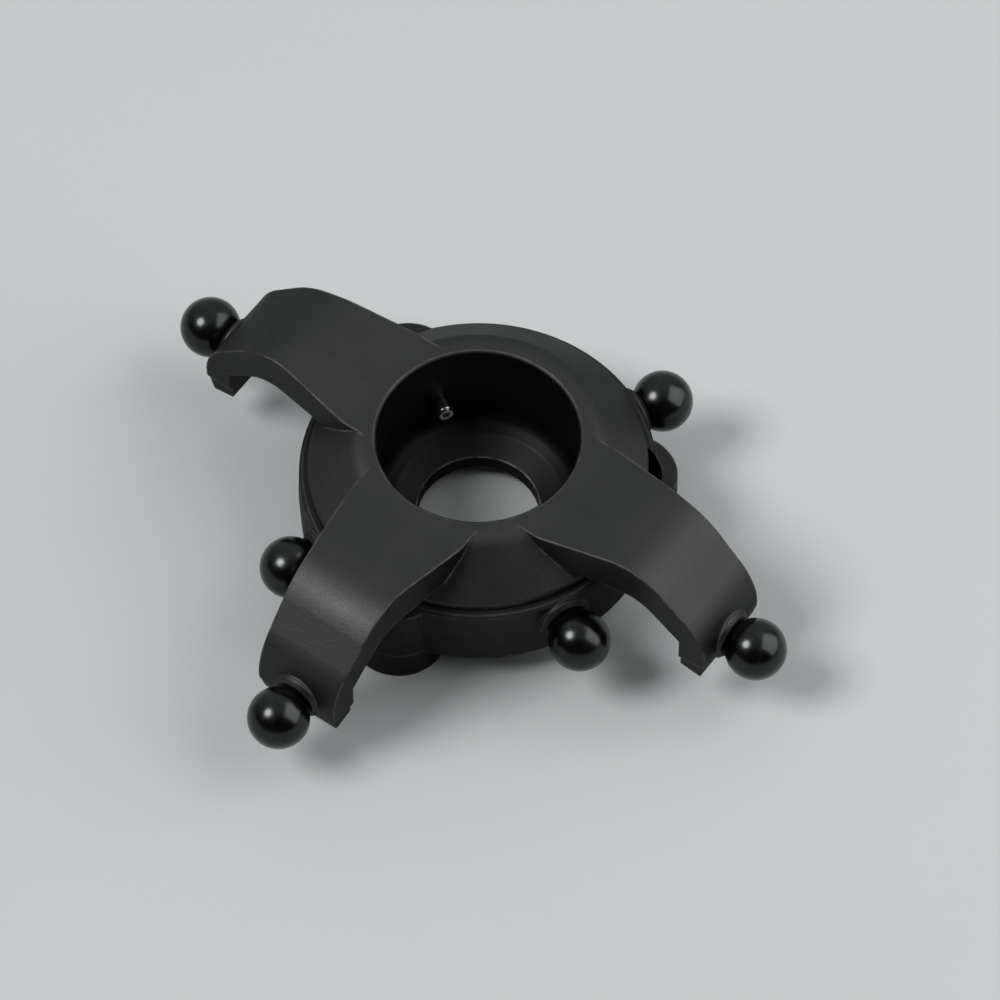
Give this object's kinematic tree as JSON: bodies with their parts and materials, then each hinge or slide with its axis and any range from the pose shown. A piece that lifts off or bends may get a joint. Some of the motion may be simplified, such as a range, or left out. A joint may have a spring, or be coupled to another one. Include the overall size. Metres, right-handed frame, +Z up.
{
  "type": "helicopter swashplate",
  "caption": "Model helicopter swashplate: a domed star with down-curved arms turns on a bearing in a ring, each with ball studs for control links.",
  "frame": {"origin": "on the mast axis, in the plane of the ring's link balls, where the guide ball's centre lies", "axes": "+Z up the mast, +X along the first star arm, with the second arm along -X and the third along -Y"},
  "size_m": [0.059, 0.0472, 0.0142],
  "materials": {
    "star_plastic": "fine grained black glass-filled nylon",
    "ring_plastic": "fine grained black glass-filled nylon",
    "link_ball_steel": "polished black oxide",
    "bearing_steel": "ground and polished",
    "cage_plastic": "moulded nylon",
    "shield_steel": "pressed sheet",
    "spring_steel": "phosphated",
    "pin_steel": "bright turned",
    "screw_steel": "black oxide"
  },
  "bodies": {
    "ring": {"ball_ring": "ring_plastic", "bearing_cover": "ring_plastic", "outer_race": "bearing_steel", "upper_shield": "shield_steel", "lower_shield": "shield_steel", "cover_screw_1": "screw_steel", "cover_screw_2": "screw_steel", "cover_screw_3": "screw_steel", "screw_washer_1": "pin_steel", "screw_washer_2": "pin_steel", "screw_washer_3": "pin_steel", "ring_ball_stud_1": "link_ball_steel", "ring_ball_stud_2": "link_ball_steel", "ring_ball_stud_3": "link_ball_steel"},
    "star": {"arm_star": "star_plastic", "inner_race": "bearing_steel", "hub_snap_ring": "spring_steel", "guide_pin": "pin_steel", "arm_ball_stud_1": "link_ball_steel", "arm_ball_stud_2": "link_ball_steel", "arm_ball_stud_3": "link_ball_steel"},
    "cage": {"bearing_cage": "cage_plastic", "bearing_balls": "bearing_steel"}
  },
  "joints": [
    {"name": "star_spin", "type": "hinge", "parent": "ring", "child": "star", "pos_m": [0, 0, 0], "axis": [0, 0, 1], "continuous": true},
    {"name": "cage_spin", "type": "hinge", "parent": "ring", "child": "cage", "pos_m": [0, 0, 0], "axis": [0, 0, 1], "continuous": true}
  ],
  "couplings": [
    {"joint": "cage_spin", "follows": "star_spin", "ratio": 0.4636}
  ]
}
